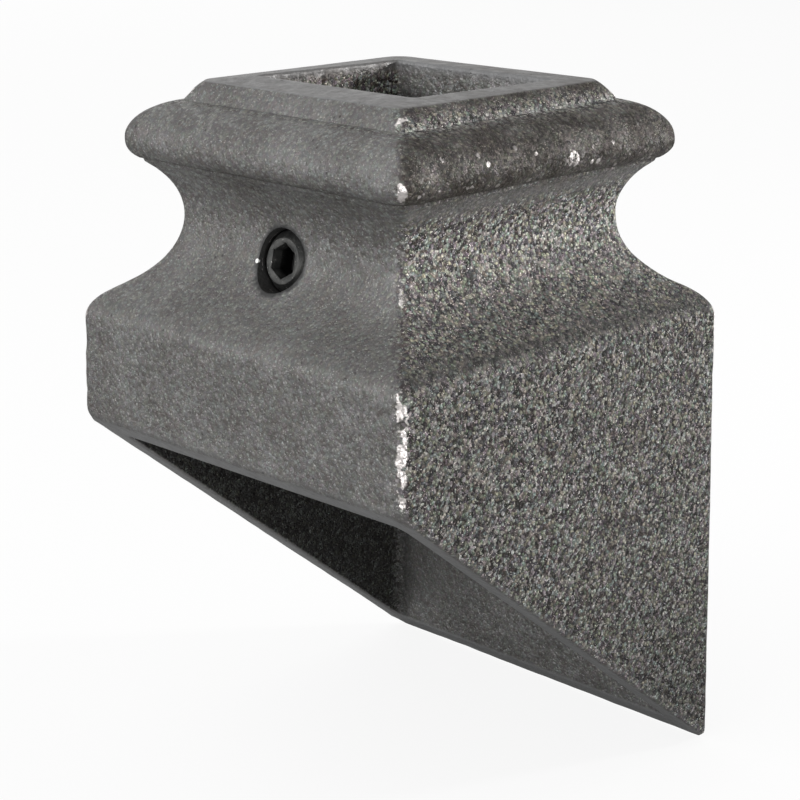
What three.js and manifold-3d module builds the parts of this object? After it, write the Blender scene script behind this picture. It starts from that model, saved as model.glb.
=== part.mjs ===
// A raked shoe for a square iron stair baluster: a one-piece grey iron casting, and the socket set
// screw that locks it on the baluster. Millimetres. +Z runs up the baluster, and the origin is on
// the socket's axis, level with the lowest edge. The short wall, with the screw, faces -X.
import * as THREE from "three";
import { mergeVertices } from "three/addons/utils/BufferGeometryUtils.js";
import Module from "manifold-3d";

// Overall sizes of the casting. Every HALF here is half a width across the flats.
const HEIGHT = 48.0;
const RAKE = THREE.MathUtils.degToRad(38.4);
const CORNER_RADIUS = 0.8;
const CORNER_STEPS = 4;

// The lip round the socket's mouth: its top edge, the corner it rounds over, and its foot.
const LIP_TOP_HALF = 9.5;
const LIP_CORNER_HALF = 9.9;
const LIP_CORNER_Z = 47.8;
const LIP_FOOT_HALF = 10.4;
const LIP_FOOT_Z = 46.75;

// The rounded moulding under the lip. It swells from the lip's foot to its widest and turns under.
const SWELL_HALF = 12.45;
const SWELL_Z = 46.4;
const BULGE_Z = 45.1;
const MOULDING_HALF = 13.25;
const MOULDING_Z = 44.05;
const TURN_UNDER_Z = 43.3;

// The slanted underside of the moulding.
const UNDERSIDE_TOP_HALF = 12.6;
const UNDERSIDE_TOP_Z = 42.9;
const UNDERSIDE_FOOT_HALF = 11.8;
const UNDERSIDE_FOOT_Z = 42.2;

// The cove, which makes the neck. The COVE heights say how tightly it curves above and below.
const COVE_HIGH_Z = 40.8;
const NECK_HALF = 10.5;
const NECK_Z = 39.2;
const COVE_LOW_Z = 36.0;
const FLARE_HALF = 13.9;
const FLARE_Z = 34.0;

// The plinth: a rounded shoulder, then walls that widen a little towards the open foot.
const SHOULDER_CORNER_Z = 33.0;
const SHOULDER_HALF = 15.45;
const SHOULDER_Z = 31.9;
const FOOT_HALF = 15.95;
const WALL = 2.1;
const CEILING_Z = 31.4;
const CEILING_RADIUS = 1.5;

// The square socket, for a 12.7 mm (1/2 in) square bar.
const SOCKET_HALF = 6.75;
const SOCKET_CORNER_RADIUS = 0.6;

// The set screw: No. 8-32, 1/8 in long, with a hexagon socket and a cup point. It stands square to
// the sloping side of the cove, so it points down and inwards. OUTER is the middle of its outer end.
const SCREW_OUTER_X = -10.7;
const SCREW_OUTER_Z = 37.42;
const SCREW_TILT = THREE.MathUtils.degToRad(12.5);
const SCREW_LENGTH = 3.175;
const THREAD_RADIUS = 2.083;
const THREAD_PITCH = 0.794;
const THREAD_DEPTH = 0.48;
const THREAD_CREST = 0.125;
const SCREW_CHAMFER = 0.6;
const HEX_ACROSS_FLATS = 1.984;
const HEX_DEPTH = 1.5;
const CUP_RADIUS = 1.0;
const CUP_DEPTH = 0.6;
const SCREW_HOLE_RADIUS = 2.13;

// How finely curves are cut into facets, and how far a cutting tool runs past what it cuts.
const TURN_STEPS = 24;
const PITCH_STEPS = 6;
const ROUND_STEPS = 32;
const CURVE_STEPS = 6;
const OVERRUN = 1;

// The screw and its hole are made along +Y, from the screw's outer end, and laid along its axis.
const SCREW_TURN = new THREE.Euler(0, SCREW_TILT, -Math.PI / 2);
const SCREW_OUTER = new THREE.Vector3(SCREW_OUTER_X, 0, SCREW_OUTER_Z);

const wasm = await Module();
wasm.setup();

// A closed three.js geometry as a manifold-3d solid.
function solid(geometry) {
  const bare = geometry.clone();
  bare.deleteAttribute("normal");
  bare.deleteAttribute("uv");
  const merged = mergeVertices(bare, 1e-4);
  return new wasm.Manifold(
    new wasm.Mesh({
      numProp: 3,
      vertProperties: merged.getAttribute("position").array,
      triVerts: new Uint32Array(merged.index.array),
    }),
  );
}

// A manifold-3d solid as a flat-shaded three.js geometry.
function geometryOf(body) {
  const mesh = body.getMesh();
  const indexed = new THREE.BufferGeometry();
  indexed.setAttribute("position", new THREE.BufferAttribute(mesh.vertProperties, mesh.numProp));
  indexed.setIndex(new THREE.BufferAttribute(mesh.triVerts, 1));
  const faceted = indexed.toNonIndexed();
  faceted.computeVertexNormals();
  return faceted;
}

// The outline of a square with rounded corners, centred on the origin, counter-clockwise.
function squareOutline(half, cornerRadius) {
  const radius = Math.min(half, cornerRadius);
  const reach = half - radius;
  const points = [];
  for (let corner = 0; corner < 4; corner += 1) {
    const diagonal = ((corner + 0.5) * Math.PI) / 2;
    const centreX = reach * Math.sign(Math.cos(diagonal));
    const centreY = reach * Math.sign(Math.sin(diagonal));
    for (let step = 0; step <= CORNER_STEPS; step += 1) {
      const angle = ((corner + step / CORNER_STEPS) * Math.PI) / 2;
      const x = centreX + radius * Math.cos(angle);
      const y = centreY + radius * Math.sin(angle);
      points.push(new THREE.Vector2(x, y));
    }
  }
  return points;
}

// A square stack: each profile point (half width, height) becomes a square with rounded corners.
// It is a LatheGeometry whose rings are squared off, so the mouldings meet in mitred corners.
function squareLathe(profile, cornerRadius) {
  const ringPoints = 4 * (CORNER_STEPS + 1);
  const geometry = new THREE.LatheGeometry(profile, ringPoints);
  const position = geometry.getAttribute("position");
  profile.forEach((point, row) => {
    const outline = squareOutline(point.x, cornerRadius);
    for (let turn = 0; turn <= ringPoints; turn += 1) {
      const corner = outline[turn % ringPoints];
      position.setXYZ(turn * profile.length + row, corner.x, corner.y, point.y);
    }
  });
  return geometry;
}

// Half the plinth's outside width at a height.
function plinthHalf(z) {
  return THREE.MathUtils.mapLinear(z, 0, SHOULDER_Z, FOOT_HALF, SHOULDER_HALF);
}

// The outside profile from below the raked cut to the top face.
function outsideProfile() {
  const side = new THREE.Path();
  side.moveTo(plinthHalf(-OVERRUN), -OVERRUN);
  side.lineTo(SHOULDER_HALF, SHOULDER_Z);
  side.quadraticCurveTo(SHOULDER_HALF, SHOULDER_CORNER_Z, FLARE_HALF, FLARE_Z);
  side.quadraticCurveTo(NECK_HALF, COVE_LOW_Z, NECK_HALF, NECK_Z);
  side.quadraticCurveTo(NECK_HALF, COVE_HIGH_Z, UNDERSIDE_FOOT_HALF, UNDERSIDE_FOOT_Z);
  side.lineTo(UNDERSIDE_TOP_HALF, UNDERSIDE_TOP_Z);
  side.quadraticCurveTo(MOULDING_HALF, TURN_UNDER_Z, MOULDING_HALF, MOULDING_Z);
  side.bezierCurveTo(MOULDING_HALF, BULGE_Z, SWELL_HALF, SWELL_Z, LIP_FOOT_HALF, LIP_FOOT_Z);
  side.quadraticCurveTo(LIP_CORNER_HALF, LIP_CORNER_Z, LIP_TOP_HALF, HEIGHT);
  const points = side.getPoints(CURVE_STEPS);
  return [new THREE.Vector2(0, -OVERRUN), ...points, new THREE.Vector2(0, HEIGHT)];
}

// Everything above the raked plane, which rises from the tall wall's foot towards the short wall.
function aboveRake() {
  const reach = 2 * FOOT_HALF;
  const rakeZ = (x) => (FOOT_HALF - x) * Math.tan(RAKE);
  const side = new THREE.Shape();
  side.moveTo(reach, rakeZ(reach));
  side.lineTo(reach, HEIGHT + OVERRUN);
  side.lineTo(-reach, HEIGHT + OVERRUN);
  side.lineTo(-reach, rakeZ(-reach));
  const slab = new THREE.ExtrudeGeometry(side, { depth: 2 * reach, bevelEnabled: false });
  slab.translate(0, 0, -reach);
  slab.rotateX(Math.PI / 2);
  return slab;
}

// The hollow of the plinth, open at the foot, with a rounded ceiling.
function hollow() {
  const side = new THREE.Path();
  side.moveTo(plinthHalf(-OVERRUN) - WALL, -2 * OVERRUN);
  const ceilingHalf = plinthHalf(CEILING_Z) - WALL;
  side.lineTo(ceilingHalf, CEILING_Z - CEILING_RADIUS);
  side.quadraticCurveTo(ceilingHalf, CEILING_Z, ceilingHalf - CEILING_RADIUS, CEILING_Z);
  const points = side.getPoints(CURVE_STEPS);
  const axisFoot = new THREE.Vector2(0, -2 * OVERRUN);
  return squareLathe([axisFoot, ...points, new THREE.Vector2(0, CEILING_Z)], CORNER_RADIUS);
}

// The socket right through the neck.
function socket() {
  const outline = new THREE.Shape(squareOutline(SOCKET_HALF, SOCKET_CORNER_RADIUS));
  const depth = HEIGHT - CEILING_Z + 2 * OVERRUN;
  const bore = new THREE.ExtrudeGeometry(outline, { depth, bevelEnabled: false });
  bore.translate(0, 0, CEILING_Z - OVERRUN);
  return bore;
}

// The cross hole for the screw, through the short wall's side of the neck only.
function screwHole() {
  const length = FLARE_HALF - SOCKET_HALF + 2 * OVERRUN;
  const bore = new THREE.CylinderGeometry(SCREW_HOLE_RADIUS, SCREW_HOLE_RADIUS, length, ROUND_STEPS);
  bore.translate(0, SCREW_LENGTH / 2, 0);
  bore.applyQuaternion(new THREE.Quaternion().setFromEuler(SCREW_TURN));
  bore.translate(SCREW_OUTER.x, SCREW_OUTER.y, SCREW_OUTER.z);
  return bore;
}

function shoeCasting() {
  const outside = solid(squareLathe(outsideProfile(), CORNER_RADIUS));
  return outside
    .intersect(solid(aboveRake()))
    .subtract(solid(hollow()))
    .subtract(solid(socket()))
    .subtract(solid(screwHole()));
}

// The thread's radius at a distance along the screw and an angle round it. The groove is a vee with
// a flat crest, and both ends are chamfered at 45 degrees.
function threadRadius(along, angle) {
  const turns = along / THREAD_PITCH + angle / (2 * Math.PI);
  const fromCrest = 2 * Math.abs(turns - Math.round(turns));
  const flank = THREE.MathUtils.smoothstep(fromCrest, THREAD_CREST, 1);
  const thread = THREAD_RADIUS - THREAD_DEPTH * flank;
  const fromEnd = Math.min(along, SCREW_LENGTH - along);
  const chamfer = THREAD_RADIUS - SCREW_CHAMFER + fromEnd;
  return Math.min(thread, chamfer);
}

// The threaded body along +Y, from its outer end at y = 0 to its cup end.
function threadedBody() {
  const rows = Math.round((SCREW_LENGTH / THREAD_PITCH) * PITCH_STEPS);
  const radius = THREAD_RADIUS;
  const body = new THREE.CylinderGeometry(radius, radius, SCREW_LENGTH, TURN_STEPS, rows);
  body.translate(0, SCREW_LENGTH / 2, 0);
  const position = body.getAttribute("position");
  for (let i = 0; i < position.count; i += 1) {
    const [x, y, z] = [position.getX(i), position.getY(i), position.getZ(i)];
    if (Math.hypot(x, z) > 0) {
      const angle = Math.atan2(x, z);
      const scale = threadRadius(y, angle) / radius;
      position.setXYZ(i, x * scale, y, z * scale);
    }
  }
  return body;
}

// The hexagon key socket in the outer end.
function hexSocket() {
  const cornerRadius = HEX_ACROSS_FLATS / Math.sqrt(3);
  const depth = HEX_DEPTH + OVERRUN;
  const hexagon = new THREE.CylinderGeometry(cornerRadius, cornerRadius, depth, 6);
  hexagon.translate(0, HEX_DEPTH - depth / 2, 0);
  return hexagon;
}

// The hollow of the cup point in the inner end.
function cup() {
  const slope = CUP_RADIUS / CUP_DEPTH;
  const depth = CUP_DEPTH + OVERRUN;
  const cone = new THREE.ConeGeometry(depth * slope, depth, TURN_STEPS);
  cone.rotateX(Math.PI);
  cone.translate(0, SCREW_LENGTH - CUP_DEPTH + depth / 2, 0);
  return cone;
}

function setScrew() {
  return solid(threadedBody()).subtract(solid(hexSocket())).subtract(solid(cup()));
}

const castIron = new THREE.MeshStandardMaterial({
  color: 0x5c5a58,
  roughness: 0.62,
  metalness: 0.7,
});

const blackSteel = new THREE.MeshStandardMaterial({
  color: 0x242523,
  roughness: 0.42,
  metalness: 0.9,
});

const casting = new THREE.Mesh(geometryOf(shoeCasting()), castIron);
casting.name = "shoe_casting";

const screw = new THREE.Mesh(geometryOf(setScrew()), blackSteel);
screw.name = "set_screw";
screw.rotation.copy(SCREW_TURN);
screw.position.copy(SCREW_OUTER);

const shoe = new THREE.Group();
shoe.name = "baluster_shoe";
shoe.add(casting, screw);

export default shoe;
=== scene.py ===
import math

import bmesh
import bpy
import numpy as np
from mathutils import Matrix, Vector, noise


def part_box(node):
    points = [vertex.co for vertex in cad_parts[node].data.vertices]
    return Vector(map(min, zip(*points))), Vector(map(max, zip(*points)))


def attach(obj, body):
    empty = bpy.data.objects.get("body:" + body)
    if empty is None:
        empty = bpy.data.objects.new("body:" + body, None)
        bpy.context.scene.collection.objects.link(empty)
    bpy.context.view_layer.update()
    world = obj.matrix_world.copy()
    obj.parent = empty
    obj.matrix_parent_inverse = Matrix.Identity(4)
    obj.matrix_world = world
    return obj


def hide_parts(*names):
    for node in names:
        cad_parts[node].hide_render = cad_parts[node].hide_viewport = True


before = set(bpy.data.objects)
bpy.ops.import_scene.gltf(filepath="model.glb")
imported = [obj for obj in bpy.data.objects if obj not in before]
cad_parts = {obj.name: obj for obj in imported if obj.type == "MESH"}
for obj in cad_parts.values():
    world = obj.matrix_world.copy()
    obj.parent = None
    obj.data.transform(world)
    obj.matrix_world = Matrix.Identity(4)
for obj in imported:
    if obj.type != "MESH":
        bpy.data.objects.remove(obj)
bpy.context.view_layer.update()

# The looks of a raked cast-iron baluster shoe and its set screw. Positions are worked out in
# millimetres and written to Blender in metres. +Z runs up the baluster, the short wall with the
# screw faces -X, and the tall wall faces +X.
MM = 0.001
CASTING_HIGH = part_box("shoe_casting")[1]

# The casting's outline. Every HALF is half a width across the flats, and every pair is such a
# half width and its height.
HEIGHT = CASTING_HIGH.z / MM
FOOT_HALF = CASTING_HIGH.x / MM
RAKE_SLOPE = math.tan(math.radians(38.4))
LIP_TOP_HALF = 9.5
LIP_CORNER = (9.9, HEIGHT - 0.2)
LIP_FOOT = (10.4, 46.75)
SWELL = (12.45, 46.4)
BULGE_Z = 45.1
MOULDING = (13.25, 44.05)
TURN_UNDER_Z = 43.3
CREASE_OVERHANG = 0.18
CREASE_REACH = 0.3
CREASE_RISE = 0.05
UNDERSIDE_TOP = (12.6, 42.9)
UNDERSIDE_FOOT = (11.8, 42.2)
COVE_HIGH_Z = 40.8
NECK = (10.5, 39.2)
COVE_LOW_Z = 36.0
FLARE = (13.9, 34.0)
SHOULDER_CORNER_Z = 33.0
SHOULDER = (15.45, 31.9)
WALL = 2.1
CEILING_Z = 31.4
CEILING_RADIUS = 1.5
SOCKET_HALF = 6.75
CORNER_RADIUS = 0.8
SOCKET_CORNER_RADIUS = 0.6
LIP_CORNER_RADIUS = 1.3

# The casting isn't quite true: the socket's mouth is turned and shifted a little on the top face,
# and stands a little higher than the lip's edge.
MOUTH_HALF = 6.9
MOUTH_CORNER_RADIUS = 0.35
MOUTH_TURN = math.radians(2.8)
MOUTH_SHIFT = (0.25, -0.25)
MOUTH_RISE = 0.18
MOUTH_SLOPE = (-0.019, 0.012)

# How round the cast edges are, as the distance from the sharp edge at which the round starts.
MOUTH_ROUND = 0.3
SOCKET_FOOT_ROUND = 0.5
RIM_INNER_ROUND = 0.3
RIM_OUTER_ROUND = 0.3
RIM_CORNER_ROUND = 0.5

# Grid density: columns run round the square, rows run up the outside and down the inside.
SIDE_COLUMNS = 84
CORNER_COLUMNS = 8
PLINTH_ROWS = 44
TOP_ROWS = 7
SOCKET_ROWS = 26
CEILING_ROWS = 8
HOLLOW_ROWS = 32
RIM_ROWS = 4
EDGE_ROWS = 5
RIM_ROUND_ROWS = 6

# The cast surface's relief: the size of its features and their height.
WAVE_SIZE, WAVE_HEIGHT = 8.0, 0.06
LUMP_SIZE, LUMP_HEIGHT = 1.4, 0.03
CHIP_SIZE, CHIP_DEPTH = 1.3, 0.12
WEAR_REACH = 0.36

# Chips on the moulding's -Y side, each as its middle and its radius.
MOULDING_CHIPS = (
    ((2.2, -13.2, 44.0), 0.6),
    ((4.2, -12.9, 44.5), 0.35),
    ((-9.4, -13.0, 45.4), 0.32),
)

# The set screw, its thread and its hexagon socket. SCREW_OUTER is the x and z of the middle of its
# outer end, and SCREW_TILT is how far its axis slopes down as it goes in. Distances along the axis
# are measured from that end.
SCREW_OUTER = (-10.7, 37.42)
SCREW_TILT = math.radians(12.5)
SCREW_LENGTH = 3.175
THREAD_RADIUS = 2.083
THREAD_PITCH = 0.794
THREAD_DEPTH = 0.48
THREAD_CREST = 0.125
SCREW_CHAMFER = 0.6
HEX_APOTHEM = 1.03
HEX_DEPTH = 1.85
HEX_DRILL_DEPTH = 0.35
HEX_MOUTH_RADIUS = 1.2
# The hexagon socket's walls are lit down to HEX_LIT_DEPTH, and painted in shadow below it.
HEX_LIT_DEPTH = 0.9
HEX_LIT_FADE = 0.1
CUP_RADIUS = 1.0
CUP_DEPTH = 0.6

# The screw's hole, and a bright nick on its edge, painted white as worn metal with a painted glint.
HOLE_RADIUS = 2.13
HOLE_GROOVE = 0.22
HOLE_PLAIN_DEPTH = 0.5
HOLE_START, HOLE_END = -2.9, 5.8
HOLE_NICK = (-10.85, 2.24, 37.1)
HOLE_NICK_RADIUS = 0.18

# Grid density of the screw and its hole.
TURN_COLUMNS = 96
PITCH_ROWS = 16


# ------------------------------------------------------------------ meshes from grids

def add_object(name, data):
    thing = bpy.data.objects.new(name, data)
    bpy.context.scene.collection.objects.link(thing)
    return thing


def mesh_object(name, points, faces):
    """A mesh object from points in millimetres, with its faces turned outwards."""
    mesh = bpy.data.meshes.new(name)
    mesh.from_pydata((np.asarray(points) * MM).tolist(), [], faces)
    bm = bmesh.new()
    bm.from_mesh(mesh)
    bmesh.ops.remove_doubles(bm, verts=bm.verts, dist=1e-7)
    bmesh.ops.recalc_face_normals(bm, faces=bm.faces)
    bm.to_mesh(mesh)
    bm.free()
    return add_object(name, mesh)


def grid_faces(rows, columns, closed_rows):
    """Quads of a grid whose columns close on themselves, and whose rows may too."""
    faces = []
    last = rows if closed_rows else rows - 1
    for row in range(last):
        here = row * columns
        above = ((row + 1) % rows) * columns
        for column in range(columns):
            beside = (column + 1) % columns
            faces.append((here + column, here + beside, above + beside, above + column))
    return faces


def read_vectors(collection, name):
    """One vector of each item of a collection, such as every vertex's place."""
    flat = np.empty(len(collection) * 3)
    collection.foreach_get(name, flat)
    return flat.reshape(-1, 3)


def write_points(mesh, points):
    mesh.vertices.foreach_set("co", (points * MM).ravel())
    mesh.update()


def add_attribute(mesh, name, values):
    layer = mesh.attributes.new(name, "FLOAT", "POINT")
    layer.data.foreach_set("value", np.asarray(values, np.float32))


def noise_field(points, size, seed):
    """Smooth noise of about -1 to 1, whose features are about size millimetres across."""
    shift = Vector((seed, 2.7 * seed, 5.1 * seed))
    return np.array([noise.noise(Vector(p) / size + shift) for p in points])


def smoothstep(low, high, value):
    t = np.clip((value - low) / (high - low), 0, 1)
    return t * t * (3 - 2 * t)


def shade_smooth(thing, sharp_angle):
    """Smooth shading that keeps edges sharper than an angle in degrees."""
    mesh = thing.data
    mesh.shade_smooth()
    mesh.set_sharp_from_angle(angle=math.radians(sharp_angle))


# ------------------------------------------------------------------ the casting

def square_columns():
    """Anchors and outline normals of the points round a unit square with rounded corners.
    A point of a square of half width w and corner radius r is (w - r) * anchor + r * normal."""
    anchors, normals = [], []
    signs = [(1, 1), (-1, 1), (-1, -1), (1, -1)]
    for k, start in enumerate(signs):
        end = signs[(k + 1) % 4]
        for step in range(CORNER_COLUMNS):
            angle = (k + step / CORNER_COLUMNS) * math.pi / 2
            anchors.append(start)
            normals.append((math.cos(angle), math.sin(angle)))
        side_angle = (k + 1) * math.pi / 2
        for step in range(SIDE_COLUMNS):
            t = step / SIDE_COLUMNS
            anchors.append((start[0] + t * (end[0] - start[0]), start[1] + t * (end[1] - start[1])))
            normals.append((math.cos(side_angle), math.sin(side_angle)))
    return np.array(anchors), np.array(normals)


ANCHORS, OUTLINE_NORMALS = square_columns()
# 1 in the middle of each rounded corner, 0 on the flats.
CORNERNESS = np.abs(2 * OUTLINE_NORMALS[:, 0] * OUTLINE_NORMALS[:, 1])


def ring(half, radius, z):
    """One row of points. half, radius and z are each one number or one number a column."""
    half, radius, z = (np.broadcast_to(v, len(ANCHORS)) for v in (half, radius, z))
    xy = (half - radius)[:, None] * ANCHORS + radius[:, None] * OUTLINE_NORMALS
    return np.column_stack([xy, z])


def plinth_half(z):
    """Half the plinth's outside width at a height."""
    return FOOT_HALF + (SHOULDER[0] - FOOT_HALF) * np.asarray(z) / SHOULDER[1]


def rim_corner(inset):
    """The row where a wall, set in from the outside by inset, meets the raked plane. The wall's
    width depends on the height and the height on the width, so both are settled by repetition."""
    z = np.zeros(len(ANCHORS))
    for _ in range(6):
        corner = ring(plinth_half(z) - inset, CORNER_RADIUS, z)
        z = (FOOT_HALF - corner[:, 0]) * RAKE_SLOPE
    return ring(plinth_half(z) - inset, CORNER_RADIUS, z)


def round_edge(start, corner, end, steps):
    """Rows that round a corner, from one row near it to another."""
    rows = []
    for t in np.linspace(0, 1, steps):
        rows.append((1 - t) ** 2 * start + 2 * t * (1 - t) * corner + t ** 2 * end)
    return rows


def askew(row):
    """The mouth's row, turned, shifted, raised and sloped."""
    cos, sin = math.cos(MOUTH_TURN), math.sin(MOUTH_TURN)
    x = row[:, 0] * cos - row[:, 1] * sin + MOUTH_SHIFT[0]
    y = row[:, 0] * sin + row[:, 1] * cos + MOUTH_SHIFT[1]
    rise = MOUTH_RISE + MOUTH_SLOPE[0] * x + MOUTH_SLOPE[1] * y
    return np.column_stack([x, y, row[:, 2] + rise])


def towards(point, other, distance):
    """Each point moved towards its partner by a distance."""
    gap = other - point
    length = np.linalg.norm(gap, axis=1, keepdims=True)
    return point + gap / length * np.asarray(distance).reshape(-1, 1)


def between(start, end, steps):
    """Rows between two rows, without the two themselves."""
    return [start + (end - start) * k / (steps + 1) for k in range(1, steps + 1)]


def curve(points, steps):
    """Points of a quadratic or cubic curve with these control points, without its last point."""
    points = [np.array(p, float) for p in points]
    sampled = []
    for t in np.linspace(0, 1, steps, endpoint=False):
        level = points
        while len(level) > 1:
            level = [(1 - t) * a + t * b for a, b in zip(level, level[1:])]
        sampled.append(level[0])
    return sampled


def crease():
    """The sharp lower edge of the moulding's face, which overhangs its underside a little."""
    half, z = UNDERSIDE_TOP
    slope = (z - UNDERSIDE_FOOT[1]) / (half - UNDERSIDE_FOOT[0])
    below = (half - CREASE_REACH, z - CREASE_REACH * slope)
    under = (half - CREASE_OVERHANG, z + CREASE_RISE)
    return [below, under]


def outside_profile():
    """(half width, height) from the shoulder to the lip's top edge."""
    profile = curve([SHOULDER, (SHOULDER[0], SHOULDER_CORNER_Z), FLARE], 10)
    profile += curve([FLARE, (NECK[0], COVE_LOW_Z), NECK], 22)
    profile += curve([NECK, (NECK[0], COVE_HIGH_Z), UNDERSIDE_FOOT], 10)
    profile += curve([UNDERSIDE_FOOT, UNDERSIDE_TOP], 4)[:3]
    profile += crease()
    profile += curve([UNDERSIDE_TOP, (MOULDING[0], TURN_UNDER_Z), MOULDING], 6)
    profile += curve([MOULDING, (MOULDING[0], BULGE_Z), SWELL, LIP_FOOT], 15)
    profile += curve([LIP_FOOT, LIP_CORNER, (LIP_TOP_HALF, HEIGHT)], 8)
    return profile


def outside_rows(outer_start):
    """Rows from the rim's outer edge up to the lip."""
    shoulder = ring(SHOULDER[0], CORNER_RADIUS, SHOULDER[1])
    rows = between(outer_start, shoulder, PLINTH_ROWS)
    for half, z in outside_profile():
        up_the_lip = smoothstep(LIP_FOOT[1], HEIGHT, z)
        radius = CORNER_RADIUS + (LIP_CORNER_RADIUS - CORNER_RADIUS) * up_the_lip
        rows.append(ring(half, radius, z))
    return rows


def top_rows(lip_edge, mouth, mouth_in, mouth_down):
    """Rows across the flat top and over the socket's edge."""
    flat = [lip_edge] + between(lip_edge, mouth_in, TOP_ROWS)
    return flat + round_edge(mouth_in, mouth, mouth_down, EDGE_ROWS)


def inside_rows(mouth, mouth_down, inner):
    """Rows down the socket, across the plinth's ceiling and down the plinth's inside."""
    socket_foot = ring(SOCKET_HALF, SOCKET_CORNER_RADIUS, CEILING_Z)
    ceiling_half = float(plinth_half(CEILING_Z)) - WALL
    ceiling_corner = ring(ceiling_half, CORNER_RADIUS, CEILING_Z)
    foot_up = towards(socket_foot, mouth, SOCKET_FOOT_ROUND)
    foot_out = towards(socket_foot, ceiling_corner, SOCKET_FOOT_ROUND)
    ceiling_in = towards(ceiling_corner, socket_foot, CEILING_RADIUS)
    ceiling_down = towards(ceiling_corner, inner, CEILING_RADIUS)
    inner_up = towards(inner, ceiling_corner, RIM_INNER_ROUND)
    rows = between(mouth_down, foot_up, SOCKET_ROWS)
    rows += round_edge(foot_up, socket_foot, foot_out, EDGE_ROWS)
    rows += between(foot_out, ceiling_in, CEILING_ROWS)
    rows += round_edge(ceiling_in, ceiling_corner, ceiling_down, CEILING_ROWS)
    return rows + between(ceiling_down, inner_up, HOLLOW_ROWS) + [inner_up]


def rim_rows(outer, outer_start, inner, inner_up, outer_round):
    """Rows across the raked rim, from its inner edge to its outer edge."""
    inner_rim = towards(inner, outer, RIM_INNER_ROUND)
    outer_rim = towards(outer, inner, outer_round)
    rows = round_edge(inner_up, inner, inner_rim, RIM_ROWS)[1:]
    rows += between(inner_rim, outer_rim, RIM_ROWS)
    return rows + round_edge(outer_rim, outer, outer_start, RIM_ROUND_ROWS)


def casting_strips():
    """The casting's four strips of rows: outside, top, inside and rim."""
    outer = rim_corner(0)
    inner = rim_corner(WALL)
    outer_round = RIM_OUTER_ROUND + RIM_CORNER_ROUND * CORNERNESS
    shoulder = ring(SHOULDER[0], CORNER_RADIUS, SHOULDER[1])
    outer_start = towards(outer, shoulder, outer_round)
    lip_edge = ring(LIP_TOP_HALF, LIP_CORNER_RADIUS, HEIGHT)
    mouth = askew(ring(MOUTH_HALF, MOUTH_CORNER_RADIUS, HEIGHT))
    mouth_in = towards(mouth, lip_edge, MOUTH_ROUND)
    mouth_down = mouth - [0, 0, MOUTH_ROUND]
    inside = inside_rows(mouth, mouth_down, inner)
    rim = rim_rows(outer, outer_start, inner, inside[-1], outer_round)
    top = top_rows(lip_edge, mouth, mouth_in, mouth_down)
    return outside_rows(outer_start), top, inside, rim


def corner_distance(row):
    """Each column's distance from the nearest middle of a rounded corner."""
    middles = row[CORNERNESS > 0.999]
    gaps = row[:, None, :2] - middles[None, :, :2]
    return np.linalg.norm(gaps, axis=2).min(axis=1)


def near(value, centre, reach):
    """1 at the centre, falling smoothly to 0 away from it."""
    return np.exp(-((value - centre) / reach) ** 2)


def worn_share(points, outside, corner_gap):
    """How much handling has worn each point: most on the upright corners where they stand out,
    least in the cove, and a little along the lip."""
    z = points[:, 2]
    plinth = smoothstep(SHOULDER_CORNER_Z + 0.4, SHOULDER[1], z) * smoothstep(16, 30, z)
    cove = 0.45 * near(z, COVE_LOW_Z + 1.0, 1.5)
    moulding = 0.7 * near(z, MOULDING[1] - 0.3, 0.8)
    lip = 0.6 * near(z, LIP_CORNER[1] - 0.6, 0.4)
    reach = WEAR_REACH * (0.55 + 0.45 * smoothstep(22, 31, z))
    upright = near(corner_gap, 0, reach) * (plinth + cove + moulding + lip)
    return outside * np.clip(upright + 0.3 * lip, 0, 1)


def painted_shade_share(points, outside, coarse):
    """How much painted shade each point gets: a dark line in the crease under the moulding, and a
    band along the shoulder that is darkest on the coarse sides."""
    z = points[:, 2]
    crease_line = 0.5 * near(z, UNDERSIDE_TOP[1], 0.15)
    shoulder = (0.15 + 0.6 * coarse) * near(z, SHOULDER_CORNER_Z + 0.15, 0.6)
    return outside * np.clip(crease_line + shoulder, 0, 1)


def patina_share(points, outside, socket, coarse):
    """How much brown patina sits on each point: on the moulding and the lip's edge of the coarse
    sides, and inside the socket's mouth."""
    z = points[:, 2]
    below_lip = smoothstep(LIP_FOOT[1] + 0.1, LIP_FOOT[1] - 0.4, z)
    moulding = smoothstep(UNDERSIDE_TOP[1] - 0.3, UNDERSIDE_TOP[1], z) * below_lip
    lip = near(z, HEIGHT - 0.2, 0.4)
    return outside * coarse * (moulding + lip) + 0.8 * socket * near(z, HEIGHT - 0.1, 0.6)


def hollow_shade_share(points, normals, socket):
    """How much painted shade each point gets inside: none at the socket's mouth, most in the hollow,
    and less on the inner faces turned to the screw side, away from the side walls, where light comes
    in.
    """
    z = points[:, 2]
    faces_screw_side = np.clip(-normals[:, 0], 0, 1) * (z < CEILING_Z)
    inner_half = FOOT_HALF - WALL
    off_the_corner = smoothstep(inner_half, inner_half - 2.0, np.abs(points[:, 1]))
    return socket * smoothstep(2.0, 3.4, HEIGHT - z) * (1 - 0.7 * faces_screw_side * off_the_corner)


def painted_light_factor(points, outside, socket, coarse):
    """How much painted light and shade changes each point from plain iron: painted light in the cove
    of the coarse sides and inside the socket's mouth, and painted shade towards the foot."""
    z = points[:, 2]
    mouth = 0.9 * smoothstep(3.0, 0.5, HEIGHT - z)
    cove_light = 0.65 * near(z, NECK[1] - 0.2, 3.8)
    foot = 0.42 * smoothstep(20, 1, z)
    return 1 + outside * coarse * (cove_light - foot) + socket * mouth


def relief(points, ground, wear):
    """The height of the cast surface above the exact shape."""
    wave = WAVE_HEIGHT * noise_field(points, WAVE_SIZE, 3.1)
    lump = LUMP_HEIGHT * noise_field(points, LUMP_SIZE, 7.7)
    chip = smoothstep(0.05, 0.5, noise_field(points, CHIP_SIZE, 12.3))
    return (wave + lump) * (1 - 0.8 * ground) - CHIP_DEPTH * chip * wear


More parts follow.
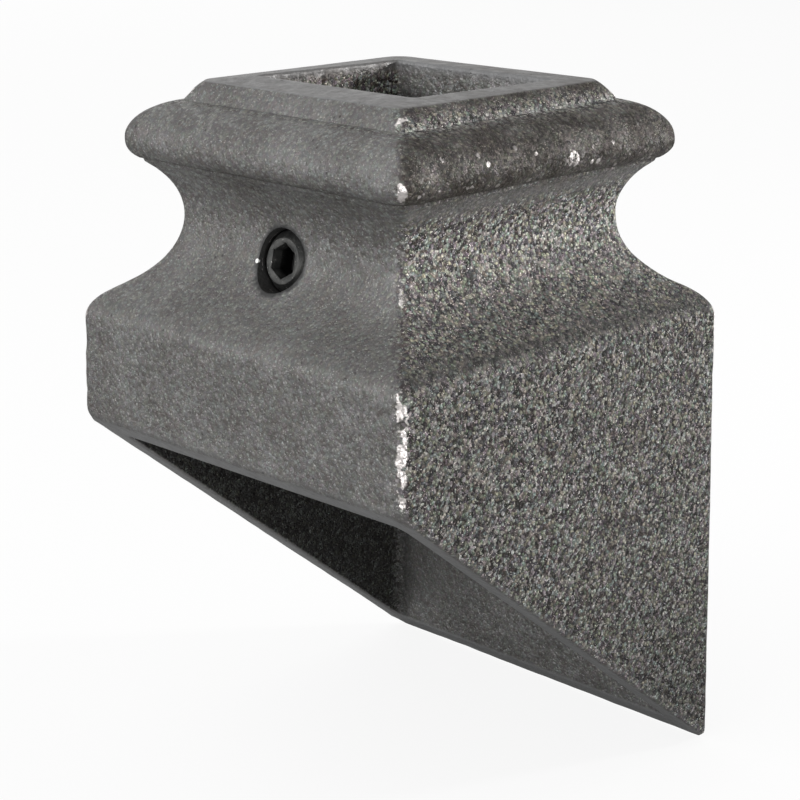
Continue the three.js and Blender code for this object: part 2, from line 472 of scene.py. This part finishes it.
def coarse_share(normals):
    """How coarse the cast surface is: 0 on the side with the screw and 1 on the other three."""
    level = np.hypot(normals[:, 0], normals[:, 1])
    return 1 - (np.clip(-normals[:, 0], 0, 1) / np.maximum(level, 0.3)) ** 2


def casting_mesh():
    """The casting, with the shares that its material reads at each point."""
    strips = casting_strips()
    counts = [len(strip) * len(ANCHORS) for strip in strips]
    rows = [row for strip in strips for row in strip]
    points = np.vstack(rows)
    # One value a strip: outside, top, inside and rim.
    outside = np.repeat([1.0, 0.6, 0.0, 0.3], counts)
    ground = np.repeat([0.0, 1.0, 0.0, 1.0], counts)
    socket = np.repeat([0.0, 0.0, 1.0, 0.0], counts)
    ground[-RIM_ROUND_ROWS * len(ANCHORS):] = 0.25
    corner_gap = np.tile(corner_distance(rows[0]), len(rows))

    thing = mesh_object("cast_shoe", points, grid_faces(len(rows), len(ANCHORS), True))
    mesh = thing.data
    z = points[:, 2]
    normals = read_vectors(mesh.vertex_normals, "vector")
    wear = worn_share(points, outside, corner_gap)
    height = relief(points, ground, wear)
    write_points(mesh, points + normals * height[:, None])

    coarse = coarse_share(normals)
    under_moulding = 0.7 * outside * coarse * near(z, UNDERSIDE_FOOT[1] - 0.2, 0.8)
    shares = {
        "wear": wear,
        # The "inside" share is painted shade in the socket and the hollow.
        "inside": hollow_shade_share(points, normals, socket),
        "coarse": coarse,
        "ground": np.maximum(ground, under_moulding),
        # Painted shade in the crease under the moulding and along the shoulder.
        "painted_shade": painted_shade_share(points, outside, coarse),
        "patina": patina_share(points, outside, socket, coarse),
        # Painted light in the cove and the socket's mouth, and painted shade towards the foot.
        "painted_light": painted_light_factor(points, outside, socket, coarse),
        "crest": outside * coarse * near(z, MOULDING[1] + 0.1, 1.1),
        # A painted highlight of bright specks along the lip's foot on the coarse sides.
        "lip_line": outside * coarse * near(z, LIP_FOOT[1] + 0.1, 0.18),
    }
    for name, values in shares.items():
        add_attribute(mesh, name, values)
    return thing


# ------------------------------------------------------------------ the set screw and its hole

def thread_profile(along):
    """How deep a thread's groove is, from 0 at the crest to 1 at the root, at a distance along
    its axis."""
    turn = np.abs((along / THREAD_PITCH) % 1 - 0.5) * 2
    return np.clip((turn - THREAD_CREST) / (1 - 2 * THREAD_CREST), 0, 1)


def turned(radius, along):
    """Points round the screw's axis, at a distance along it from its outer end. radius and along
    are each one number or one a column."""
    angle = np.arange(TURN_COLUMNS) / TURN_COLUMNS * 2 * math.pi
    radius = np.broadcast_to(radius, TURN_COLUMNS)
    along = np.broadcast_to(along, TURN_COLUMNS)
    above = radius * np.cos(angle)
    x = SCREW_OUTER[0] + along * math.cos(SCREW_TILT) + above * math.sin(SCREW_TILT)
    z = SCREW_OUTER[1] - along * math.sin(SCREW_TILT) + above * math.cos(SCREW_TILT)
    return np.column_stack([x, radius * np.sin(angle), z])


def thread_rows(start, end, radius_at):
    """Rows along a helical thread. radius_at gives the radius for a groove depth and a place."""
    angle = np.arange(TURN_COLUMNS) / TURN_COLUMNS
    count = int(round((end - start) / THREAD_PITCH * PITCH_ROWS))
    rows = []
    for along in np.linspace(start, end, count + 1):
        depth = thread_profile(along - start - THREAD_PITCH * angle)
        rows.append(turned(radius_at(depth, along), along))
    return rows


def hex_radius():
    """The hexagon socket's radius at each column, with corners straight up and down."""
    angle = np.arange(TURN_COLUMNS) / TURN_COLUMNS * 2 * math.pi
    return HEX_APOTHEM / np.cos(angle % (math.pi / 3) - math.pi / 6)


def screw_places(mesh):
    """Each vertex's distance along the screw's axis, and its distance from that axis."""
    points = read_vectors(mesh.vertices, "co") / MM - [SCREW_OUTER[0], 0, SCREW_OUTER[1]]
    along = points[:, 0] * math.cos(SCREW_TILT) - points[:, 2] * math.sin(SCREW_TILT)
    above = points[:, 0] * math.sin(SCREW_TILT) + points[:, 2] * math.cos(SCREW_TILT)
    return along, np.hypot(points[:, 1], above)


def socket_shadow_share(mesh):
    """How much painted shadow each point of the screw gets: 1 down inside the hexagon socket, below
    the depth that light reaches.
    """
    along, radius = screw_places(mesh)
    in_socket = (radius < HEX_MOUTH_RADIUS + 0.01) & (along < SCREW_LENGTH - CUP_DEPTH)
    return in_socket * smoothstep(HEX_LIT_DEPTH - HEX_LIT_FADE, HEX_LIT_DEPTH, along)


def screw_mesh():
    """The screw, from the bottom of its hexagon socket out over its thread to its cup point."""
    tip = SCREW_LENGTH
    hexagon = hex_radius()
    mouth = np.maximum(hexagon, HEX_MOUTH_RADIUS)
    face_radius = THREAD_RADIUS - SCREW_CHAMFER
    core = THREAD_RADIUS - THREAD_DEPTH

    def thread_radius(depth, along):
        cut = THREAD_RADIUS - THREAD_DEPTH * depth
        start_cone = face_radius + along
        tip_cone = core - 0.1 + (tip - along)
        return np.minimum(cut, np.minimum(start_cone, tip_cone))

    # Each row's radius and its distance along the axis.
    socket_rows = [
        (0, HEX_DEPTH + HEX_DRILL_DEPTH),
        (hexagon * 0.97, HEX_DEPTH),
        (hexagon, HEX_DEPTH - 0.05),
        (hexagon, HEX_LIT_DEPTH),
        (hexagon, HEX_LIT_DEPTH - HEX_LIT_FADE),
        (hexagon, 0.1),
        (np.maximum(hexagon, 1.05), 0.05),
        (mouth, 0.01),
        (mouth + 0.03, 0),
        (face_radius - 0.05, 0),
    ]
    cup_rows = [
        (core - 0.16, tip),
        (CUP_RADIUS + 0.05, tip),
        (CUP_RADIUS - 0.03, tip - 0.03),
        (CUP_RADIUS * 0.4, tip - CUP_DEPTH * 0.7),
        (0, tip - CUP_DEPTH),
    ]
    rows = [turned(radius, along) for radius, along in socket_rows]
    rows += thread_rows(0.01, tip - 0.01, thread_radius)
    rows += [turned(radius, along) for radius, along in cup_rows]
    thing = mesh_object("hex_set_screw", np.vstack(rows), grid_faces(len(rows), TURN_COLUMNS, False))
    # The "deep" share is painted shadow down in the hexagon socket.
    add_attribute(thing.data, "deep", socket_shadow_share(thing.data))
    return thing


def hole_cutter():
    """A plug that cuts the screw's hole: a plain mouth, then the tapped thread."""
    def radius_at(depth, along):
        below_mouth = smoothstep(0, HOLE_PLAIN_DEPTH, along - HOLE_PLAIN_DEPTH)
        return HOLE_RADIUS + HOLE_GROOVE * (1 - depth) * below_mouth

    rows = [turned(0, HOLE_START)]
    rows += thread_rows(HOLE_START, HOLE_END, radius_at)
    rows += [turned(0, HOLE_END)]
    return mesh_object("hole_cutter", np.vstack(rows), grid_faces(len(rows), TURN_COLUMNS, False))


def cut_hole(thing, cutter):
    """Cuts the cutter out of a mesh for good."""
    cut = thing.modifiers.new("hole", "BOOLEAN")
    cut.operation = "DIFFERENCE"
    cut.solver = "EXACT"
    cut.object = cutter
    evaluated = thing.evaluated_get(bpy.context.evaluated_depsgraph_get())
    mesh = bpy.data.meshes.new_from_object(evaluated)
    thing.modifiers.clear()
    thing.data = mesh
    bpy.data.objects.remove(cutter)


def paint_hole_shade(mesh):
    """Gives the screw hole's own surface painted shade, and makes it smooth."""
    along, radius = screw_places(mesh)
    in_hole = (along < HOLE_END) & (radius < HOLE_RADIUS + HOLE_GROOVE + 0.01)
    for name, share in (("inside", 0.75), ("painted_shade", 0.6), ("ground", 1.0)):
        layer = mesh.attributes[name]
        values = np.empty(len(mesh.vertices), np.float32)
        layer.data.foreach_get("value", values)
        layer.data.foreach_set("value", np.where(in_hole, share, values).astype(np.float32))


# ------------------------------------------------------------------ node materials

TEXTURE_TURN = (0.5, 0.8, 0.3)

# Sizes of the sand grains and of the finer dust between them, in millimetres.
GRAIN_SIZE = 0.23
DUST_SIZE = 0.1

# Colours.
DARK_IRON, PALE_IRON = (0.15, 0.145, 0.14), (0.2, 0.197, 0.193)
RUST = (0.15, 0.115, 0.09)
# The colour of painted glints on a few of the fine specks.
GLINT_WHITE = (0.8, 0.79, 0.77)
FINE_SIDE_TINT, COARSE_SIDE_TINT = (1.0, 1.0, 0.985), (1.05, 1.0, 0.94)
# The paler colour of the ground faces: partly their finish, partly painted light on the top and the
# rim.
GROUND_AND_LIT_IRON = (0.27, 0.275, 0.285)
PATINA_TINT = (0.35, 0.332, 0.315)
# The colour of a painted highlight of bright specks along the lip's foot.
LIP_GLINT_WHITE = (0.9, 0.9, 0.9)
# Dark scale in the pits, and the colour of painted shade in the crease, along the shoulder and in
# the screw hole.
PIT_AND_SHADE_BLACK = (0.03, 0.028, 0.026)
# The colour of painted shade inside the socket and the hollow.
HOLLOW_SHADE_BLACK = (0.018, 0.018, 0.017)
# A nick on the hole's edge, painted white: worn metal with a painted glint.
NICK_AND_GLINT_WHITE = (0.9, 0.9, 0.88)
BARE_METAL = (0.85, 0.8, 0.78)
DARK_STEEL, PALE_STEEL = (0.042, 0.043, 0.042), (0.08, 0.08, 0.077)
SCUFFED_STEEL = (0.4, 0.39, 0.37)
# The colour of painted shadow in the hexagon socket.
SOCKET_SHADOW_BLACK = (0.008, 0.008, 0.008)


def opaque(colour):
    """A plain colour with its alpha. A node's output goes through unchanged."""
    return colour if isinstance(colour, bpy.types.NodeSocket) else (*colour, 1.0)


class Graph:
    """A material's node tree, with a short method for each kind of node that is used."""

    def __init__(self, name):
        self.material = bpy.data.materials.new(name)
        self.material.use_nodes = True
        self.tree = self.material.node_tree
        self.tree.nodes.clear()

    def node(self, kind, inputs=(), **settings):
        made = self.tree.nodes.new(kind)
        for key, value in settings.items():
            setattr(made, key, value)
        for key, value in dict(inputs).items():
            if isinstance(value, bpy.types.NodeSocket):
                self.tree.links.new(value, made.inputs[key])
            else:
                made.inputs[key].default_value = value
        return made

    def millimetres(self):
        """The object's own coordinates in millimetres, turned so that no texture's own grid lines
        up with the object's flat faces."""
        place = self.node("ShaderNodeTexCoord").outputs["Object"]
        inputs = {"Vector": place, "Scale": (1 / MM,) * 3, "Rotation": TEXTURE_TURN}
        return self.node("ShaderNodeMapping", inputs).outputs["Vector"]

    def attribute(self, name):
        return self.node("ShaderNodeAttribute", attribute_name=name).outputs["Fac"]

    def noise(self, place, size, detail, roughness):
        inputs = {"Vector": place, "Scale": 1 / size, "Detail": detail, "Roughness": roughness}
        return self.node("ShaderNodeTexNoise", inputs).outputs["Fac"]

    def cells(self, place, size):
        """Voronoi cells: the distance to the nearest cell's middle, and a colour for each cell."""
        made = self.node("ShaderNodeTexVoronoi", {"Vector": place, "Scale": 1 / size})
        return made.outputs["Distance"], made.outputs["Color"]

    def spot(self, centre, radius):
        """1 within a radius of a place on the object, both in millimetres."""
        place = self.node("ShaderNodeTexCoord").outputs["Object"]
        inputs = {0: place, 1: tuple(v * MM for v in centre)}
        gap = self.vector_math("DISTANCE", inputs, "Value")
        return self.remap(gap, 0.8 * radius * MM, radius * MM, 1.0, 0.0)

    def math(self, operation, a, b, clamp=False):
        made = self.node("ShaderNodeMath", {0: a, 1: b}, operation=operation, use_clamp=clamp)
        return made.outputs[0]

    def times(self, a, b):
        return self.math("MULTIPLY", a, b)

    def vector_math(self, operation, inputs, output="Vector"):
        return self.node("ShaderNodeVectorMath", inputs, operation=operation).outputs[output]

    def remap(self, value, low, high, to_low=0.0, to_high=1.0):
        inputs = {"Value": value, "From Min": low, "From Max": high,
                  "To Min": to_low, "To Max": to_high}
        return self.node("ShaderNodeMapRange", inputs, interpolation_type="SMOOTHSTEP").outputs[0]

    def mix(self, share, a, b):
        """A blend of two numbers."""
        inputs = {"Factor": share, 2: a, 3: b}
        return self.node("ShaderNodeMix", inputs, data_type="FLOAT").outputs[0]

    def blend(self, share, a, b, kind="MIX"):
        """A blend of two colours."""
        inputs = {"Factor": share, 6: opaque(a), 7: opaque(b)}
        return self.node("ShaderNodeMix", inputs, data_type="RGBA", blend_type=kind).outputs[2]

    def bump(self, height, depth, normal=None):
        """A bumped normal. depth is the height, in millimetres, of a step from 0 to 1."""
        inputs = {"Height": height, "Distance": depth * MM, "Strength": 1.0}
        if normal is not None:
            inputs["Normal"] = normal
        return self.node("ShaderNodeBump", inputs).outputs["Normal"]

    def facets(self, normal, colour, tilt):
        """The normal tilted one way in each cell, by a share of tilt."""
        centred = self.vector_math("SUBTRACT", {0: colour, 1: (0.5,) * 3})
        scaled = self.vector_math("SCALE", {0: centred, "Scale": tilt})
        added = self.vector_math("ADD", {0: normal, 1: scaled})
        return self.vector_math("NORMALIZE", {0: added})

    def finish(self, shader):
        output = self.node("ShaderNodeOutputMaterial")
        self.tree.links.new(shader, output.inputs["Surface"])
        return self.material


def cast_iron():
    g = Graph("cast_iron")
    place = g.millimetres()
    wear = g.attribute("wear")
    ground = g.attribute("ground")
    coarse = g.attribute("coarse")
    patina = g.attribute("patina")
    smooth = g.times(ground, 0.75)
    rough = g.math("SUBTRACT", 1.0, smooth)
    worn_flat = g.math("SUBTRACT", rough, g.times(patina, 0.45), clamp=True)
    gritty = g.times(g.mix(coarse, 0.34, 1.0), worn_flat)

    # Sand grains: each cell is a small dome with its own shade. In the colour, its middle is painted
    # lighter as a lit top, and the gap round it darker as painted shade.
    grain_gap, grain_colour = g.cells(place, GRAIN_SIZE)
    dust_gap, dust_colour = g.cells(place, DUST_SIZE)
    dome = g.remap(grain_gap, 0.1, 0.55, 1.0, 0.0)
    speck = g.remap(dust_gap, 0.1, 0.55, 1.0, 0.0)
    shade = g.remap(grain_colour, 0.25, 0.95)
    grit_and_lit_tops = g.times(g.mix(dome, 0.35, 1.0), shade)
    grit_and_lit_tops = g.mix(0.4, grit_and_lit_tops, g.times(speck, g.remap(dust_colour, 0.2, 0.9)))

    # Noise of several sizes, which the spots and stains below are cut from.
    lumps = g.noise(place, 0.9, 3.0, 0.6)
    patches = g.noise(place, 5.0, 3.0, 0.6)
    stains = g.noise(place, 2.2, 4.0, 0.65)
    splash = g.noise(place, 0.45, 3.0, 0.7)

    pit = g.remap(g.cells(place, 0.55)[0], 0.1, 0.22, 1.0, 0.0)
    pit = g.times(pit, g.remap(lumps, 0.52, 0.64))

    # Bare metal along the worn corners, with a ragged, broken edge.
    broken = g.remap(g.noise(place, 1.0, 2.0, 0.7), 0.42, 0.5)
    ragged_wear = g.math("ADD", wear, g.times(g.math("SUBTRACT", splash, 0.5), 1.2))
    worn_through = g.times(broken, g.remap(wear, 0.05, 0.2))
    bare = g.times(g.remap(ragged_wear, 0.32, 0.52), worn_through)

    # Nicks along the moulding: round spots in a few of the cells, and the chips.
    nick_gap, nick_colour = g.cells(place, 0.8)
    ragged = g.math("ADD", nick_gap, g.times(splash, 0.5))
    nick = g.times(g.remap(ragged, 0.42, 0.52, 1.0, 0.0), g.remap(nick_colour, 0.58, 0.62))
    nick = g.times(nick, g.attribute("crest"))
    flake = g.remap(splash, 0.46, 0.58, 0.0, 0.85)
    for centre, radius in MOULDING_CHIPS:
        nick = g.math("MAXIMUM", nick, g.times(g.spot(centre, radius), flake))
    bare = g.math("MAXIMUM", bare, g.times(nick, 0.85))

    # The iron's own colour, its grains, and the tints of whole areas, with painted light and shade
    # on the grains and over whole areas, and painted glints.
    base = g.blend(g.remap(patches, 0.35, 0.65), DARK_IRON, PALE_IRON)
    base = g.blend(g.times(g.remap(stains, 0.5, 0.7), g.mix(coarse, 0.15, 0.4)), base, RUST)
    base = g.blend(g.times(gritty, 0.92), base, g.mix(grit_and_lit_tops, 0.015, 0.92))
    base = g.blend(g.times(gritty, 0.14), base, grain_colour, "OVERLAY")
    # Painted glints: a few of the fine specks painted nearly white.
    sparkle = g.times(g.remap(dust_colour, 0.78, 0.84), speck)
    base = g.blend(g.times(sparkle, gritty), base, GLINT_WHITE)
    # Painted light in the cove and the socket's mouth, and painted shade towards the foot.
    base = g.blend(1.0, base, g.attribute("painted_light"), "MULTIPLY")
    base = g.blend(1.0, base, g.blend(coarse, FINE_SIDE_TINT, COARSE_SIDE_TINT), "MULTIPLY")

    # What lies over it, from the ground faces to the bare metal, with painted light, painted
    # highlights and painted shade among the layers.
    # The ground faces' paler colour: partly their smoother finish, partly painted light on the top
    # and the rim.
    base = g.blend(g.times(ground, 0.5), base, GROUND_AND_LIT_IRON)
    browned = g.blend(1.0, base, PATINA_TINT, "MULTIPLY")
    base = g.blend(g.times(patina, g.remap(stains, 0.36, 0.6, 0.5, 1.0)), base, browned)
    # A painted highlight of bright specks along the lip's foot on the coarse sides.
    base = g.blend(g.times(g.attribute("lip_line"), grit_and_lit_tops), base, LIP_GLINT_WHITE)
    base = g.blend(g.times(pit, 0.6), base, PIT_AND_SHADE_BLACK)
    # Painted shade in the crease under the moulding, along the shoulder and in the screw hole.
    base = g.blend(g.times(g.attribute("painted_shade"), 0.8), base, PIT_AND_SHADE_BLACK)
    # Painted shade in the socket, the hollow and the screw hole.
    base = g.blend(g.times(g.attribute("inside"), 0.85), base, HOLLOW_SHADE_BLACK)
    # A nick on the hole's edge, painted white: worn metal with a painted glint.
    base = g.blend(g.spot(HOLE_NICK, HOLE_NICK_RADIUS), base, NICK_AND_GLINT_WHITE)
    base = g.blend(bare, base, BARE_METAL)

    roughness = g.mix(g.remap(lumps, 0.3, 0.7), 0.42, 0.6)
    roughness = g.mix(bare, roughness, 0.4)
    metallic = g.mix(bare, 0.55, 1.0)

    relief = g.times(gritty, g.mix(bare, 1.0, 0.7))
    height = g.times(g.times(dome, g.mix(grain_colour, 0.4, 1.0)), relief)
    normal = g.bump(height, 0.07)
    normal = g.bump(g.times(speck, relief), 0.02, normal)
    normal = g.bump(g.math("ADD", lumps, g.times(splash, 0.4)), 0.08, normal)
    normal = g.bump(pit, -0.05, normal)
    normal = g.facets(normal, grain_colour, g.times(relief, 0.9))
    inputs = {"Base Color": base, "Roughness": roughness, "Metallic": metallic, "Normal": normal}
    return g.finish(g.node("ShaderNodeBsdfPrincipled", inputs).outputs[0])


def black_steel():
    g = Graph("black_steel")
    place = g.millimetres()
    grain = g.noise(place, 0.12, 3.0, 0.6)
    patches = g.noise(place, 0.7, 3.0, 0.6)
    base = g.blend(g.remap(patches, 0.35, 0.7), DARK_STEEL, PALE_STEEL)
    scuff = g.remap(g.noise(place, 0.3, 4.0, 0.7), 0.62, 0.68)
    base = g.blend(g.times(scuff, 0.7), base, SCUFFED_STEEL)
    # Painted shadow down in the hexagon socket.
    base = g.blend(g.times(g.attribute("deep"), 0.9), base, SOCKET_SHADOW_BLACK)
    roughness = g.mix(patches, 0.35, 0.55)
    normal = g.bump(grain, 0.03)
    inputs = {"Base Color": base, "Roughness": roughness, "Metallic": 0.7, "Normal": normal}
    return g.finish(g.node("ShaderNodeBsdfPrincipled", inputs).outputs[0])


# ------------------------------------------------------------------ the studio

# Lengths here are in metres. The camera and the lights look at AIM, each from an azimuth, an
# elevation and a distance.
AIM = Vector((0, 0, 0.0259))
CAMERA_PLACE = (-45.31, 16.46, 0.1396)
CAMERA_LENS = 90.7
FLOOR_RADIUS = 4.0
FLOOR_GLOW = 0.88
WORLD_LIGHT = 0.5

# Each light's place, its size and its watts.
LIGHTS = {
    "left_softbox": ((-105, 3, 0.5), 0.7, 2.7),
    "back_softbox": ((150, 22, 0.6), 0.5, 0.35),
    "overhead": ((-110, 65, 0.6), 0.5, 0.8),
    "right_lamp": ((55, 14, 0.3), 0.03, 0.42),
    "front_lamp": ((-28, 0, 0.5), 0.1, 1.0),
}


def pale_floor_material():
    """Pale and nearly shadowless where the camera sees it, darker for the light it throws back."""
    g = Graph("pale_floor")
    seen = g.node("ShaderNodeLightPath").outputs["Is Camera Ray"]
    glow = g.node("ShaderNodeEmission", {"Color": (1, 1, 1, 1), "Strength": 1.0}).outputs[0]
    colour = g.blend(seen, (0.4, 0.4, 0.4), (0.96, 0.96, 0.96))
    paint = g.node("ShaderNodeBsdfDiffuse", {"Color": colour}).outputs[0]
    share = g.times(seen, FLOOR_GLOW)
    return g.finish(g.node("ShaderNodeMixShader", {0: share, 1: paint, 2: glow}).outputs[0])


def floor():
    mesh = bpy.data.meshes.new("floor")
    bm = bmesh.new()
    bmesh.ops.create_circle(bm, cap_ends=True, segments=64, radius=FLOOR_RADIUS)
    bm.to_mesh(mesh)
    bm.free()
    mesh.materials.append(pale_floor_material())
    add_object("floor", mesh)


def direction(azimuth, elevation):
    """The unit vector from the object towards a place. Azimuth 0 is -Y and 90 is +X."""
    a, e = math.radians(azimuth), math.radians(elevation)
    return Vector((math.sin(a) * math.cos(e), -math.cos(a) * math.cos(e), math.sin(e)))


def aimed(thing, azimuth, elevation, distance):
    back = direction(azimuth, elevation)
    thing.location = AIM + back * distance
    thing.rotation_euler = back.to_track_quat("Z", "Y").to_euler()


def studio_lights():
    for name, (place, size, watts) in LIGHTS.items():
        data = bpy.data.lights.new(name, "AREA")
        data.shape = "DISK"
        data.size = size
        data.energy = watts
        aimed(add_object(name, data), *place)


def white_world():
    """White where the camera sees it, and weaker as a light."""
    world = bpy.data.worlds.new("white_world")
    world.use_nodes = True
    bpy.context.scene.world = world
    tree = world.node_tree
    background = tree.nodes["Background"]
    seen = tree.nodes.new("ShaderNodeLightPath").outputs["Is Camera Ray"]
    strength = tree.nodes.new("ShaderNodeMapRange")
    strength.inputs["To Min"].default_value = WORLD_LIGHT
    strength.inputs["To Max"].default_value = 1.0
    tree.links.new(seen, strength.inputs["Value"])
    tree.links.new(strength.outputs[0], background.inputs["Strength"])
    background.inputs["Color"].default_value = (1, 1, 1, 1)


def camera():
    data = bpy.data.cameras.new("camera")
    data.lens = CAMERA_LENS
    data.sensor_width = 36.0
    data.clip_start = 0.01
    thing = add_object("camera", data)
    aimed(thing, *CAMERA_PLACE)
    bpy.context.scene.camera = thing


# ------------------------------------------------------------------ the object

casting = casting_mesh()
cut_hole(casting, hole_cutter())
paint_hole_shade(casting.data)
shade_smooth(casting, 45)
casting.data.materials.clear()
casting.data.materials.append(cast_iron())
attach(casting, "shoe")
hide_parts("shoe_casting")

screw = screw_mesh()
shade_smooth(screw, 35)
screw.data.materials.append(black_steel())
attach(screw, "screw")
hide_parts("set_screw")

floor()
white_world()
studio_lights()
camera()
bpy.context.scene.view_settings.view_transform = "Standard"

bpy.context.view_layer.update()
